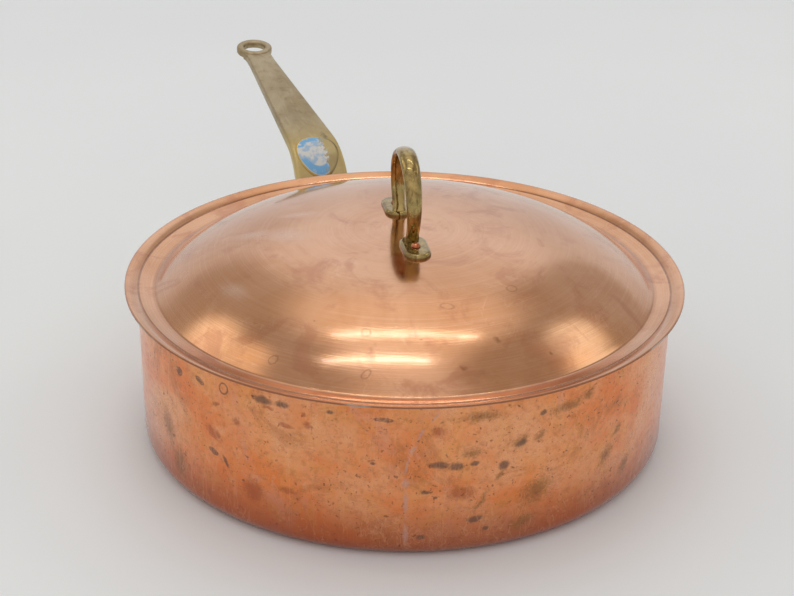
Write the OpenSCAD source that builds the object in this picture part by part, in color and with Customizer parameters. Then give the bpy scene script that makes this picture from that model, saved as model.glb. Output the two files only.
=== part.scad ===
// Low straight-sided copper pan with a domed lid.
// The pan and the lid are copper sheet bonded to a thin pale lining. A cast brass strap
// handle is held to the wall by three rivets, and a brass loop handle to the lid by two.
// The origin is the middle of the base, on the table. +Z is up and the strap handle points
// along +X. Everything is in millimetres.

/* [Pan] */
// outside diameter of the pan at its rim
pan_d = 240; // [200:5:280]
// height of the pan from the table to its rim
pan_h = 71; // [66:1:90]
// how far the wall draws in from the rim to the base, on the radius
wall_draft = 0.8; // [0:0.1:2]
// outside radius of the bend between base and wall
base_bend_r = 8; // [6:0.5:12]
// thickness of the pan's copper
pan_copper_t = 1.6; // [1.2:0.1:2.4]
// thickness of the lining bonded inside the pan
pan_lining_t = 0.4; // [0.3:0.1:0.8]

/* [Lid] */
// how far the lid's edge stands out past the pan's wall
lid_overhang = 5.5; // [4:0.5:9]
// width of the sloping flange, from the lid's edge to the foot of its dome
flange_w = 13.5; // [12:0.5:18]
// how far the flange drops from its edge to the foot of the dome
flange_drop = 3.8; // [2:0.1:6]
// distance from the lid's edge to the pressed line round its flange
line_in = 6; // [4:0.5:8]
// height of the dome above its foot
dome_h = 26; // [18:1:34]
// shape of the dome: 2 is a plain bowl, more is a flatter top with rounder shoulders
dome_power = 3.5; // [2:0.1:5]
// thickness of the lid's copper
lid_copper_t = 1; // [0.8:0.1:1.6]
// thickness of the lining bonded under the lid
lid_lining_t = 0.35; // [0.3:0.05:0.6]
// gap between the lid's flange and the pan's rim
seat_gap = 0.3; // [0.2:0.05:0.5]

/* [Strap handle] */
// distance from the pan's middle to the middle of the hanging eye
eye_x = 267; // [240:1:320]
// height of the middle of the hanging eye above the table
eye_z = 97.6; // [90:0.5:120]
// rise of the straight part of the strap, in degrees
strap_rise = 6.9; // [0:0.1:12]
// distance from the pan's wall to the end of the straight part
knee_reach = 32; // [28:1:40]
// outside radius of the bend down towards the wall
knee_r = 29.7; // [27:0.1:31]
// width of the strap at the neck before the eye
neck_w = 14.4; // [12:0.2:18]
// width gained by the strap for every millimetre back towards the pan
strap_taper = 0.109; // [0.06:0.001:0.13]
// thickness of the strap at its bend
strap_t = 5.4; // [4.5:0.1:7]
// outside radius of the hanging eye
eye_r = 9.9; // [9:0.1:13]
// radius of the hole in the hanging eye
eye_hole_r = 5.9; // [4:0.1:7]
// thickness of the hanging eye
eye_t = 4; // [3:0.1:5]
// thickness of the plate that the rivets hold to the wall
plate_t = 4.6; // [3:0.1:6]

/* [Loop handle] */
// turn of the lid about the pan's middle, from the strap handle's direction
lid_turn = -8.5; // [-90:0.5:90]
// radius of the loop, to the middle of its thickness
loop_r = 20.2; // [19:0.1:23]
// height of the loop's middle above the top of the dome
loop_rise = 15.1; // [14:0.1:19]
// width of the loop at its crown
loop_w = 8.4; // [7:0.1:11]
// width of the loop where it meets its feet
loop_foot_w = 5.2; // [4.5:0.1:8]
// radial thickness of the loop
loop_t = 4.5; // [4:0.1:5.5]
// distance from the middle of the lid to the outer end of a foot
foot_reach = 34.6; // [33:0.1:44]
// width of a foot
foot_w = 12.2; // [11:0.1:15]
// thickness of a foot
foot_t = 2; // [1.8:0.1:3.5]
// distance from the middle of the lid to a foot's rivet
foot_rivet_s = 25; // [24:0.5:28]

/* [Hidden] */
$fn = 120;
pan_r = pan_d / 2;
base_r = pan_r - wall_draft;
pan_t = pan_copper_t + pan_lining_t;
lid_r = pan_r + lid_overhang;
lid_t = lid_copper_t + lid_lining_t;
dome_r = lid_r - flange_w;
flange_a = atan(flange_drop / flange_w);
// the flange comes down on the inner edge of the pan's rim
lid_edge_z = pan_h + seat_gap + (lid_r - pan_r + pan_t) * tan(flange_a) + lid_t / cos(flange_a);
dome_foot_z = lid_edge_z - flange_drop;
dome_top_z = dome_foot_z + dome_h;
line_r = lid_r - line_in;
line_half_w = 0.55;
line_depth = 0.4;
bend_steps = 10;
dome_steps = 36;
// a cut runs this far past what it cuts
past = 1;

// rivets: shank radius, outer head radius and height, inner head radius and height
pan_rivet = [2.6, 4.8, 2, 5.2, 1.6];
lid_rivet = [1.7, 2.5, 1.5, 3.2, 1.2];
// the pan's rivets: [distance along the plate from its middle, height above the table]
plate_rivets = [[20, 51], [-20, 51], [0, 29]];
plate_lobe_r = 9;
plate_web_top_z = 60;
plate_top_half_w = 17;

knee_x = pan_r + knee_reach;
knee_sweep = 57;
knee_steps = 14;
// length of the straight run from the bend down into the plate
root_l = 20;
neck_fillet_r = 14;
label_r = 11.1;
label_t = 0.2;

loop_z = dome_top_z + loop_rise;
// the arc of the loop ends this far from its crown, and straight legs run on down
loop_half_sweep = 112;
leg_l = 7.9;
leg_in = 1;
leg_shrink = 0.05;
foot_r = foot_w / 2;
foot_inner_s = 12.6;
foot_chamfer = 0.8;

copper = [0.74, 0.45, 0.3];
worn_copper = [0.72, 0.4, 0.24];
brass = [0.72, 0.6, 0.36];
tin = [0.78, 0.77, 0.74];

// points of an arc about a centre, from one angle to another
function arc(c, r, a0, a1, steps) =
    [for (i = [0:steps]) let (a = a0 + (a1 - a0) * i / steps) [c[0] + r * cos(a), c[1] + r * sin(a)]];

// half the pan's section: a skin of thickness t whose outside lies skin_in inside the copper's
module pan_skin(skin_in, t) {
    bend = [base_r - base_bend_r, base_bend_r];
    outer = arc(bend, base_bend_r - skin_in, -90, 0, bend_steps);
    inner = arc(bend, base_bend_r - skin_in - t, 0, -90, bend_steps);
    rotate_extrude()
        polygon(concat([[0, skin_in]], outer,
                       [[pan_r - skin_in, pan_h], [pan_r - skin_in - t, pan_h]],
                       inner, [[0, skin_in + t]]));
}

// everything inside a surface of the pan's wall that lies out_by outside the copper
module wall_fill(out_by) {
    rotate_extrude()
        polygon([[0, -past], [base_r + out_by, -past], [base_r + out_by, base_bend_r],
                 [pan_r + out_by, pan_h], [0, pan_h]]);
}

// height of the dome's outside at a radius, and how steeply it falls there
function dome_z(r) = dome_foot_z + dome_h * (1 - pow(r / dome_r, dome_power));
function dome_fall(r) = dome_h * dome_power * pow(r / dome_r, dome_power - 1) / dome_r;

// the point that lies depth below the dome's outside, square to it
function under_dome(r, depth) =
    let (fall = dome_fall(r), n = sqrt(1 + fall * fall))
    [max(0, r - depth * fall / n), dome_z(r) - depth / n];

// height of the flange at a radius, depth below its outside
function flange_z(r, depth) = lid_edge_z - (lid_r - r) * tan(flange_a) - depth / cos(flange_a);

// the lid's surface at a depth below its outside, from its middle to its edge
function lid_face(depth) =
    concat([for (i = [0:dome_steps]) under_dome(dome_r * i / dome_steps, depth)],
           depth == 0 ? [[line_r - line_half_w, flange_z(line_r - line_half_w, 0)],
                         [line_r, flange_z(line_r, 0) - line_depth],
                         [line_r + line_half_w, flange_z(line_r + line_half_w, 0)]]
                      : [[dome_r + depth * sin(flange_a), flange_z(dome_r + depth * sin(flange_a), depth)]],
           [[lid_r, flange_z(lid_r, depth)]]);

module lid_skin(depth, t) {
    below = lid_face(depth + t);
    rotate_extrude()
        polygon(concat(lid_face(depth), [for (i = [len(below) - 1:-1:0]) below[i]]));
}

// everything below the lid's outside, to take the loop handle's feet down onto the dome
module lid_fill() {
    rotate_extrude()
        polygon(concat([for (i = [0:dome_steps]) under_dome(dome_r * i / dome_steps, 0)],
                       [[dome_r, dome_foot_z - past], [0, dome_foot_z - past]]));
}

// a low domed head whose flat side lies on z = 0
module rivet_head(r, h) {
    ball_r = (r * r + h * h) / (2 * h);
    rotate_extrude()
        polygon(concat([[0, -past], [r, -past]],
                       arc([0, h - ball_r], ball_r, asin((ball_r - h) / ball_r), 90, bend_steps)));
}

module pan_body() {
    color(worn_copper)
        difference() {
            pan_skin(0, pan_copper_t);
            for (i = [0:2]) plate_rivet_hole(i);
        }
}

module pan_lining() {
    color(tin)
        difference() {
            pan_skin(pan_copper_t, pan_lining_t);
            for (i = [0:2]) plate_rivet_hole(i);
        }
}

// puts its children at one of the plate's rivets, with +X along the rivet, away from the pan
module at_plate_rivet(i) {
    translate([0, 0, plate_rivets[i][1]])
        rotate([0, 0, asin(plate_rivets[i][0] / pan_r)])
            children();
}

module plate_rivet_hole(i) {
    at_plate_rivet(i)
        translate([pan_r - 3 * pan_t, 0, 0])
            rotate([0, 90, 0])
                cylinder(r = pan_rivet[0], h = 3 * pan_t + 2 * plate_t);
}

// a rivet through the lining, the wall and the handle's plate, closed over at both ends
module plate_rivet(i) {
    shank_from = pan_r - pan_t - 1.2;
    shank_to = pan_r + plate_t + 1.2;
    color(copper) {
        at_plate_rivet(i)
            translate([shank_from, 0, 0])
                rotate([0, 90, 0])
                    cylinder(r = pan_rivet[0], h = shank_to - shank_from);
        difference() {
            at_plate_rivet(i)
                translate([pan_r + plate_t, 0, 0])
                    rotate([0, 90, 0])
                        rivet_head(pan_rivet[1], pan_rivet[2]);
            wall_fill(plate_t);
        }
        intersection() {
            at_plate_rivet(i)
                translate([pan_r - pan_t, 0, 0])
                    rotate([0, -90, 0])
                        rivet_head(pan_rivet[3], pan_rivet[4]);
            wall_fill(-pan_t);
        }
    }
}

// the strap seen from the side, as an outline in X and Z
function strap_side() =
    let (run = eye_x - knee_x,
         knee_top_z = eye_z + eye_t / 2 - run * tan(strap_rise),
         centre = [knee_x + knee_r * sin(strap_rise), knee_top_z - knee_r * cos(strap_rise)],
         a0 = 90 + strap_rise,
         a1 = a0 + knee_sweep,
         fall = [-sin(a1), cos(a1)],
         outer = arc(centre, knee_r, a0, a1, knee_steps),
         inner = arc(centre, knee_r - strap_t, a1, a0, knee_steps))
    concat([[eye_x, eye_z + eye_t / 2 - 0.2]], outer,
           [outer[knee_steps] + root_l * fall, inner[0] + root_l * fall],
           inner, [[eye_x, eye_z - eye_t / 2 + 0.2]]);

// the strap seen from above: it widens towards the pan and has a fillet on each side of its eye
module strap_plan() {
    neck_half = neck_w / 2;
    reach = sqrt(pow(eye_r + neck_fillet_r, 2) - pow(neck_half + neck_fillet_r, 2));
    neck_x = eye_x - reach;
    meet = eye_r / (eye_r + neck_fillet_r);
    root_x = pan_r - 3;
    root_half = neck_half + (neck_x - root_x) * strap_taper / 2;
    difference() {
        polygon([[root_x, -root_half], [neck_x, -neck_half],
                 [eye_x - reach * meet, -(neck_half + neck_fillet_r) * meet], [eye_x, 0],
                 [eye_x - reach * meet, (neck_half + neck_fillet_r) * meet],
                 [neck_x, neck_half], [root_x, root_half]]);
        for (side = [-1, 1])
            translate([neck_x, side * (neck_half + neck_fillet_r)]) circle(r = neck_fillet_r);
    }
}

// the plate against the wall, seen along X: two upper lobes, a lower lobe and the web between them
module plate_front() {
    for (p = plate_rivets) translate(p) circle(r = plate_lobe_r);
    polygon([[-plate_rivets[0][0] - plate_lobe_r * 0.86, plate_rivets[0][1] - plate_lobe_r * 0.5],
             [-plate_lobe_r * 0.86, plate_rivets[2][1] - plate_lobe_r * 0.5],
             [plate_lobe_r * 0.86, plate_rivets[2][1] - plate_lobe_r * 0.5],
             [plate_rivets[0][0] + plate_lobe_r * 0.86, plate_rivets[0][1] - plate_lobe_r * 0.5],
             [plate_rivets[0][0], plate_web_top_z], [plate_top_half_w, plate_web_top_z + 3.5],
             [-plate_top_half_w, plate_web_top_z + 3.5], [-plate_rivets[0][0], plate_web_top_z]]);
}

module handle_plate() {
    intersection() {
        difference() {
            wall_fill(plate_t);
            wall_fill(0);
        }
        translate([pan_r * 0.5, 0, 0])
            rotate([90, 0, 90])
                linear_extrude(pan_r) plate_front();
    }
}

module strap() {
    difference() {
        intersection() {
            rotate([90, 0, 0])
                linear_extrude(pan_r, center = true) polygon(strap_side());
            linear_extrude(2 * eye_z) strap_plan();
        }
        wall_fill(0);
    }
}

// puts its children at the hanging eye, with +Z along its hole
module at_eye() {
    translate([eye_x, 0, eye_z]) rotate([0, -strap_rise, 0]) children();
}

module pan_handle() {
    color(brass)
        difference() {
            union() {
                handle_plate();
                strap();
                at_eye() cylinder(r = eye_r, h = eye_t, center = true);
            }
            at_eye() cylinder(r = eye_hole_r, h = 4 * eye_t, center = true);
            for (i = [0:2]) plate_rivet_hole(i);
        }
}

// a paper label stuck over the bend of the strap
module handle_label() {
    side = strap_side();
    skin = [for (i = [0:knee_steps + 2]) side[i]];
    lift = [0, label_t];
    centre_x = knee_x - 1.02 * label_r;
    color([0.8, 0.82, 0.8])
        intersection() {
            rotate([90, 0, 0])
                linear_extrude(pan_r, center = true)
                    polygon(concat(skin, [for (i = [knee_steps + 2:-1:0]) skin[i] + lift]));
            translate([centre_x, 0, 0]) cylinder(r = label_r, h = 2 * eye_z);
        }
}

module lid_shell() {
    color(copper)
        difference() {
            lid_skin(0, lid_copper_t);
            for (side = [1, -1]) foot_rivet_hole(side);
        }
}

module lid_lining() {
    color(tin)
        difference() {
            lid_skin(lid_copper_t, lid_lining_t);
            for (side = [1, -1]) foot_rivet_hole(side);
        }
}

// puts its children at one foot's rivet, on the level of the dome's top
module at_foot_rivet(side) {
    rotate([0, 0, lid_turn]) translate([side * foot_rivet_s, 0, dome_top_z]) children();
}

module foot_rivet_hole(side) {
    at_foot_rivet(side) cylinder(r = lid_rivet[0], h = 6 * foot_t, center = true);
}

module foot_rivet(side) {
    color(copper) {
        at_foot_rivet(side)
            translate([0, 0, -lid_t - 0.9]) cylinder(r = lid_rivet[0], h = lid_t + 0.9 + foot_t + 0.8);
        at_foot_rivet(side)
            translate([0, 0, foot_t])
                intersection() {
                    rivet_head(lid_rivet[1], lid_rivet[2]);
                    cylinder(r = 2 * lid_rivet[1], h = 2 * lid_rivet[2]);
                }
        difference() {
            at_foot_rivet(side)
                translate([0, 0, -lid_t]) mirror([0, 0, 1]) rivet_head(lid_rivet[3], lid_rivet[4]);
            lid_fill_above(lid_t);
        }
    }
}

// everything above the lining's underside, near the middle of the lid
module lid_fill_above(depth) {
    faces = [for (i = [0:dome_steps / 2]) under_dome(dome_r * i / dome_steps, depth)];
    rotate_extrude()
        polygon(concat(faces, [[dome_r / 2, dome_top_z + past], [0, dome_top_z + past]]));
}

// a foot's outline, shrunk all round by an amount
module foot_outline(shrink) {
    near = foot_inner_s + foot_r;
    far = foot_reach - foot_r;
    for (s = [near, far]) translate([s, 0]) circle(r = foot_r - shrink);
    translate([near, -foot_r + shrink]) square([far - near, foot_w - 2 * shrink]);
}

module foot() {
    translate([0, 0, dome_top_z - 2])
        linear_extrude(2 + foot_t - foot_chamfer) foot_outline(0);
    translate([0, 0, dome_top_z - 2])
        linear_extrude(2 + foot_t) foot_outline(foot_chamfer);
}

// the loop's D section, crowned on the outside and flat on the inside, shrunk by an amount
module loop_section(shrink) {
    crown = loop_t * 0.62;
    crown_r = (pow(loop_w / 2, 2) + crown * crown) / (2 * crown);
    intersection() {
        translate([loop_r + loop_t / 2 - crown_r, 0]) circle(r = crown_r - shrink);
        translate([loop_r - loop_t / 2 + shrink, shrink - loop_w / 2])
            square([2 * loop_t, loop_w - 2 * shrink]);
    }
}

// the loop: an arch with two straight legs, trimmed so that it narrows towards its feet;
// each leg is a hair thinner than the arch and starts just inside it
module loop() {
    intersection() {
        translate([0, 0, loop_z])
            rotate([90, 0, 0]) {
                rotate([0, 0, 90 - loop_half_sweep])
                    rotate_extrude(angle = 2 * loop_half_sweep) loop_section(0);
                for (side = [-1, 1])
                    rotate([0, 0, 90 + side * loop_half_sweep])
                        rotate([-90 * side, 0, 0])
                            translate([0, 0, -leg_in]) linear_extrude(leg_l + leg_in) loop_section(leg_shrink);
            }
        rotate([90, 0, 90])
            linear_extrude(4 * loop_r, center = true)
                polygon([[-loop_foot_w / 2, dome_top_z - 2], [loop_foot_w / 2, dome_top_z - 2],
                         [loop_w / 2, loop_z + loop_r + loop_t], [-loop_w / 2, loop_z + loop_r + loop_t]]);
    }
}

module lid_handle() {
    color(brass)
        difference() {
            rotate([0, 0, lid_turn]) {
                loop();
                foot();
                rotate([0, 0, 180]) foot();
            }
            lid_fill();
            for (side = [1, -1]) foot_rivet_hole(side);
        }
}

pan_body();
pan_lining();
pan_handle();
plate_rivet(0);  // pan_rivet_left
plate_rivet(1);  // pan_rivet_right
plate_rivet(2);  // pan_rivet_lower
handle_label();
lid_shell();
lid_lining();
lid_handle();
foot_rivet(-1);  // lid_rivet_front
foot_rivet(1);  // lid_rivet_back
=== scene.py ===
import math

import bmesh
import bpy
from mathutils import Matrix, Vector
from mathutils.bvhtree import BVHTree


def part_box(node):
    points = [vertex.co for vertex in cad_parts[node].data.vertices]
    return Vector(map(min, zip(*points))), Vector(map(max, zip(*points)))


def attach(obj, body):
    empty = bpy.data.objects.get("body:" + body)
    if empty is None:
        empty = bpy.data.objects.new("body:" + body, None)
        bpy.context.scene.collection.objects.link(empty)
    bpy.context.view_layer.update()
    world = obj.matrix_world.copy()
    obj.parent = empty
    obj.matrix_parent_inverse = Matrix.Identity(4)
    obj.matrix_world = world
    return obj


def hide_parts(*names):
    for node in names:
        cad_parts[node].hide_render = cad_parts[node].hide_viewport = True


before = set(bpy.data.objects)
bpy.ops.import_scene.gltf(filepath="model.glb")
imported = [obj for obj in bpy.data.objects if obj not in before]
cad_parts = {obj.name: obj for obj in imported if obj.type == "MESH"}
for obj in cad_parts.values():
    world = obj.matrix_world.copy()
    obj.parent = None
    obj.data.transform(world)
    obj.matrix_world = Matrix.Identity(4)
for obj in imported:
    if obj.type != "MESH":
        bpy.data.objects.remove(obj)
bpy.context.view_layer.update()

# ---- The pan's copper body --------------------------------------------------------------------
# One sheet of copper drawn into a flat base, a rounded bend and a nearly straight wall, with a
# plain rim. Years of use have left it mottled, stained and finely scratched.
MM = 0.001
body_low, body_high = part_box("pan_body")
PAN_R = (body_high.x - body_low.x) / 2
PAN_H = body_high.z
WALL_DRAFT = 0.8 * MM
BASE_R = PAN_R - WALL_DRAFT
BEND_R = 8 * MM
PAN_COPPER = 1.6 * MM
ROUND_STEPS = 240
# the side that usually faces the room, as an angle about the pan's middle from its strap handle
FRONT = math.radians(160.8)


def on_bench(bm, name):
    """Makes an object of a bmesh, which is used up."""
    mesh = bpy.data.meshes.new(name)
    bm.to_mesh(mesh)
    bm.free()
    made = bpy.data.objects.new(name, mesh)
    bpy.context.scene.collection.objects.link(made)
    return made


def make_piece(name, bm, body, slot, *nodes, sharp=35):
    """Turns a bmesh into a smooth-shaded piece that stands for the named nodes and rides on a body."""
    bmesh.ops.recalc_face_normals(bm, faces=bm.faces)
    piece = on_bench(bm, name)
    piece.data.shade_smooth()
    piece.data.set_sharp_from_angle(angle=math.radians(sharp))
    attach(piece, body)
    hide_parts(*nodes)
    return piece


def turned(chain, rounds, steps=ROUND_STEPS):
    """A closed shell turned about +Z from a chain of (radius, height) points, some of them rounded."""
    bm = bmesh.new()
    points = [bm.verts.new((r, 0, z)) for r, z in chain]
    for a, b in zip(points, points[1:]):
        bm.edges.new((a, b))
    for index, (offset, segments) in rounds.items():
        bmesh.ops.bevel(bm, geom=[points[index]], offset=offset, segments=segments,
                        affect="VERTICES", profile=0.5, material=-1)
    bmesh.ops.spin(bm, geom=bm.verts[:] + bm.edges[:], cent=(0, 0, 0), axis=(0, 0, 1),
                   angle=math.tau, steps=steps, use_merge=True)
    bmesh.ops.remove_doubles(bm, verts=bm.verts, dist=1e-6)
    return bm


def put(tree, kind, sockets=None, **settings):
    """Adds a node, with its settings and with its sockets set or linked."""
    made = tree.nodes.new("ShaderNode" + kind)
    for name, value in settings.items():
        setattr(made, name, value)
    for name, value in (sockets or {}).items():
        if isinstance(value, bpy.types.NodeSocket):
            tree.links.new(value, made.inputs[name])
        else:
            made.inputs[name].default_value = value
    return made


def calc(tree, operation, a, b=0.0):
    """One step of arithmetic on values that change over the surface."""
    return put(tree, "Math", {0: a, 1: b}, operation=operation).outputs[0]


def spread(tree, value, low, high, to_low=0.0, to_high=1.0):
    """Takes a value's range from low..high to to_low..to_high, with soft ends and no overshoot."""
    return put(tree, "MapRange", {"Value": value, 1: low, 2: high, 3: to_low, 4: to_high},
               interpolation_type="SMOOTHSTEP").outputs[0]


def noise(tree, vector, scale, detail=4.0, rough=0.55, warp=0.0):
    """Cloudy noise from 0 to 1, centred on a half."""
    return put(tree, "TexNoise", {"Vector": vector, "Scale": scale, "Detail": detail,
                                  "Roughness": rough, "Distortion": warp}).outputs["Fac"]


def stretch(tree, vector, scale, turn=(0, 0, 0), shift=(0, 0, 0)):
    """Where a pattern is read from, scaled, turned and shifted."""
    return put(tree, "Mapping", {"Vector": vector, "Scale": scale, "Rotation": turn,
                                 "Location": shift}).outputs[0]


def moved(tree, vector, shift):
    """Another part of the same pattern."""
    return stretch(tree, vector, (1, 1, 1), shift=shift)


def off_axis(tree, place):
    """How far a place is from the upright line through the pan's middle."""
    level = stretch(tree, place, (1, 1, 0))
    return put(tree, "VectorMath", {0: level}, operation="LENGTH").outputs["Value"]


def tone(tree, mask, under, over):
    """Colour under, with colour over laid on it where the mask is."""
    return put(tree, "Mix", {0: mask, 6: under, 7: over}, data_type="RGBA").outputs[2]


def paint(red, green, blue):
    """A display colour as a linear one."""
    return tuple(((c / 255 + 0.055) / 1.055) ** 2.4 for c in (red, green, blue)) + (1.0,)


def stain(tree, colour, mask, amount, shade):
    """The colour with a shade laid on it where the mask is, as strongly as the amount."""
    return tone(tree, calc(tree, "MULTIPLY", mask, amount), colour, paint(*shade))


def effect(name, inputs, outputs):
    """Starts a node group: its tree, the sockets that come in, and the node that they leave by."""
    tree = bpy.data.node_groups.new(name, "ShaderNodeTree")
    for label, kind, value in inputs:
        socket = tree.interface.new_socket(label, in_out="INPUT", socket_type="NodeSocket" + kind)
        if value is not None:
            socket.default_value = value
    for label, kind in outputs:
        tree.interface.new_socket(label, in_out="OUTPUT", socket_type="NodeSocket" + kind)
    return tree, tree.nodes.new("NodeGroupInput").outputs, tree.nodes.new("NodeGroupOutput")


def use(tree, group, sockets):
    """Places an effect in a material."""
    placed = tree.nodes.new("ShaderNodeGroup")
    placed.node_tree = group
    for name, value in sockets.items():
        if isinstance(value, bpy.types.NodeSocket):
            tree.links.new(value, placed.inputs[name])
        else:
            placed.inputs[name].default_value = value
    return placed.outputs


def raise_relief(tree, shader, height, strength, distance):
    """Lets a height stand out of the finish."""
    bumped = put(tree, "Bump", {"Strength": strength, "Distance": distance, "Height": height})
    tree.links.new(bumped.outputs[0], shader.inputs["Normal"])


def start_finish(name, **constants):
    """A metal or paper finish with its constant values set, and the tree and shader to build on."""
    finish = bpy.data.materials.new(name)
    finish.use_nodes = True
    tree = finish.node_tree
    shader = tree.nodes["Principled BSDF"]
    for label, value in constants.items():
        shader.inputs[label.replace("_", " ")].default_value = value
    return finish, tree, shader


# scratches: thin bright or dark lines that wander, kept to patches by a slow noise
scratches, came_in, going_out = effect(
    "fine_scratches",
    [("Vector", "Vector", None), ("Scale", "Float", 60.0), ("Thin", "Float", 0.02),
     ("Patchy", "Float", 0.5)],
    [("Mask", "Float")])
wander = noise(scratches, came_in["Vector"], came_in["Scale"], 2.0, 0.5, 1.2)
line = calc(scratches, "ABSOLUTE", calc(scratches, "SUBTRACT", wander, 0.5))
thin_line = calc(scratches, "SUBTRACT", 1.0, calc(scratches, "DIVIDE", line, came_in["Thin"]))
patch = noise(scratches, came_in["Vector"], calc(scratches, "MULTIPLY", came_in["Scale"], 0.35))
kept = spread(scratches, patch, came_in["Patchy"], calc(scratches, "ADD", came_in["Patchy"], 0.12))
scratches.links.new(
    calc(scratches, "MULTIPLY", calc(scratches, "MAXIMUM", thin_line, 0.0), kept), going_out.inputs[0])

# a mark: an oval with a ragged edge, at a place and a turn
mark, came_in, going_out = effect(
    "ragged_mark",
    [("Vector", "Vector", None), ("Place", "Vector", None), ("Size", "Vector", None),
     ("Turn", "Vector", None), ("Ragged", "Float", 0.5), ("Soft", "Float", 0.5)],
    [("Mask", "Float"), ("Rim", "Float")])
bend = put(mark, "TexNoise", {"Vector": came_in["Vector"], "Scale": 260.0, "Detail": 5.0,
                              "Roughness": 0.62}).outputs["Color"]
bend = put(mark, "VectorMath", {0: bend, 1: (0.5, 0.5, 0.5)}, operation="SUBTRACT").outputs[0]
bend = put(mark, "VectorMath", {0: bend, "Scale": calc(mark, "MULTIPLY", came_in["Ragged"], 9 * MM)},
           operation="SCALE").outputs[0]
bent = put(mark, "VectorMath", {0: came_in["Vector"], 1: bend}, operation="ADD").outputs[0]
local = put(mark, "Mapping", {"Vector": bent, "Location": came_in["Place"],
                              "Rotation": came_in["Turn"], "Scale": came_in["Size"]},
            vector_type="TEXTURE").outputs[0]
reach = put(mark, "VectorMath", {0: local}, operation="LENGTH").outputs["Value"]
crumbs = noise(mark, came_in["Vector"], 900.0, 4.0, 0.7)
broken = calc(mark, "MULTIPLY", calc(mark, "SUBTRACT", crumbs, 0.5),
              calc(mark, "MULTIPLY", came_in["Ragged"], 2.4))
reach = calc(mark, "ADD", reach, broken)
mark.links.new(spread(mark, reach, 1.0, calc(mark, "SUBTRACT", 1.0, came_in["Soft"])), going_out.inputs[0])
ring = calc(mark, "ABSOLUTE", calc(mark, "SUBTRACT", reach, 0.85))
mark.links.new(spread(mark, ring, 0.25, 0.0), going_out.inputs[1])

pan_copper, tree, shader = start_finish(
    "worn_copper", Metallic=1.0, Anisotropic=0.2, Coat_Weight=0.7, Coat_Roughness=0.14)
flat = put(tree, "UVMap", uv_map="unrolled").outputs[0]
place = put(tree, "TexCoord").outputs["Object"]
height = put(tree, "SeparateXYZ", {0: place}).outputs[2]

clouds = noise(tree, stretch(tree, flat, (1, 1.3, 1)), 22.0, 6.0, 0.6, 0.4)
drift = noise(tree, stretch(tree, flat, (1, 0.28, 1), shift=(3, 1, 0)), 60.0, 5.0, 0.6, 0.3)
fine = noise(tree, flat, 330.0, 5.0, 0.65)
colour = tone(tree, spread(tree, clouds, 0.38, 0.62), paint(236, 162, 112), paint(232, 130, 64))
colour = stain(tree, colour, spread(tree, drift, 0.5, 0.72), 0.6, (244, 154, 82))
golden = noise(tree, moved(tree, flat, (1, 6, 0)), 70.0, 9.0, 0.72, 0.6)
colour = stain(tree, colour, spread(tree, golden, 0.5, 0.6), 0.45, (230, 154, 84))
pinkish = noise(tree, stretch(tree, flat, (1, 0.6, 1), shift=(9, 6, 0)), 38.0, 8.0, 0.7, 1.0)
colour = stain(tree, colour, spread(tree, pinkish, 0.54, 0.66), 0.5, (222, 148, 118))
tarnish = noise(tree, moved(tree, flat, (7, 2, 0)), 30.0, 9.0, 0.74, 0.8)
colour = stain(tree, colour, spread(tree, tarnish, 0.53, 0.64), 0.5, (182, 110, 58))
colour = stain(tree, colour, spread(tree, fine, 0.5, 0.7), 0.4, (188, 106, 56))
# the foot of the wall is redder and darker
crust = noise(tree, moved(tree, flat, (4, 8, 0)), 160.0, 10.0, 0.82)
colour = stain(tree, colour, spread(tree, crust, 0.5, 0.62), 0.35, (176, 106, 66))
colour = stain(tree, colour, spread(tree, height, 0.03, 0.002), 0.75, (158, 74, 46))


def wall_marks(tree, flat, marks, ragged, soft, output=0):
    """The joined mask of a list of marks: degrees from the front, height, width, tallness, turn."""
    joined = None
    for round_by, high, wide, tall, turn in marks:
        one = use(tree, mark, {
            "Vector": flat, "Place": (math.radians(round_by) * PAN_R, high * MM, 0),
            "Size": (wide / 2 * MM, tall / 2 * MM, 1), "Turn": (0, 0, math.radians(turn)),
            "Ragged": ragged, "Soft": soft})[output]
        joined = one if joined is None else calc(tree, "MAXIMUM", joined, one)
    return joined


olive = wall_marks(tree, flat, [
    (15.5, 65.3, 26, 7, 0), (23.5, 50.9, 12, 9, 35), (28.0, 51.5, 9, 6, 40), (13.9, 48.8, 13, 6, 0),
    (19.5, 37.0, 4, 9, -35), (16.0, 26.0, 4, 17, -35), (39.5, 64.4, 9, 9, 0), (49.3, 39.6, 9, 6, 45),
    (27.7, 25.7, 24, 17, 20), (24.8, 11.5, 16, 9, 20), (46.0, 30.0, 16, 10, 50), (53.0, 19.0, 14, 9, 50),
    (-52.7, 16.7, 16, 22, 0), (-57.0, 30.0, 14, 24, 20), (34.0, 62.0, 26, 7, 4)], 0.55, 0.9)
colour = stain(tree, colour, olive, 0.72, (146, 96, 48))
red_spots = wall_marks(tree, flat, [
    (-34.5, 51.2, 5, 4, 0), (-22.9, 56.7, 9, 3, -5), (-18.4, 59.1, 4, 5, 0), (-19.2, 63.3, 3, 3, 0),
    (-40.8, 41.5, 14, 7, -25), (-30.8, 21.0, 15, 14, 0), (-22.9, 25.8, 11, 5, -5), (-40.0, 56.0, 7, 3, 30),
    (-27.0, 63.0, 8, 3, 0), (-6.0, 46.0, 4, 2, 20), (7.0, 60.0, 9, 7, 0),
    (12.0, 30.0, 16, 9, 0)], 0.35, 0.7)
colour = stain(tree, colour, red_spots, 0.6, (160, 72, 38))
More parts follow.
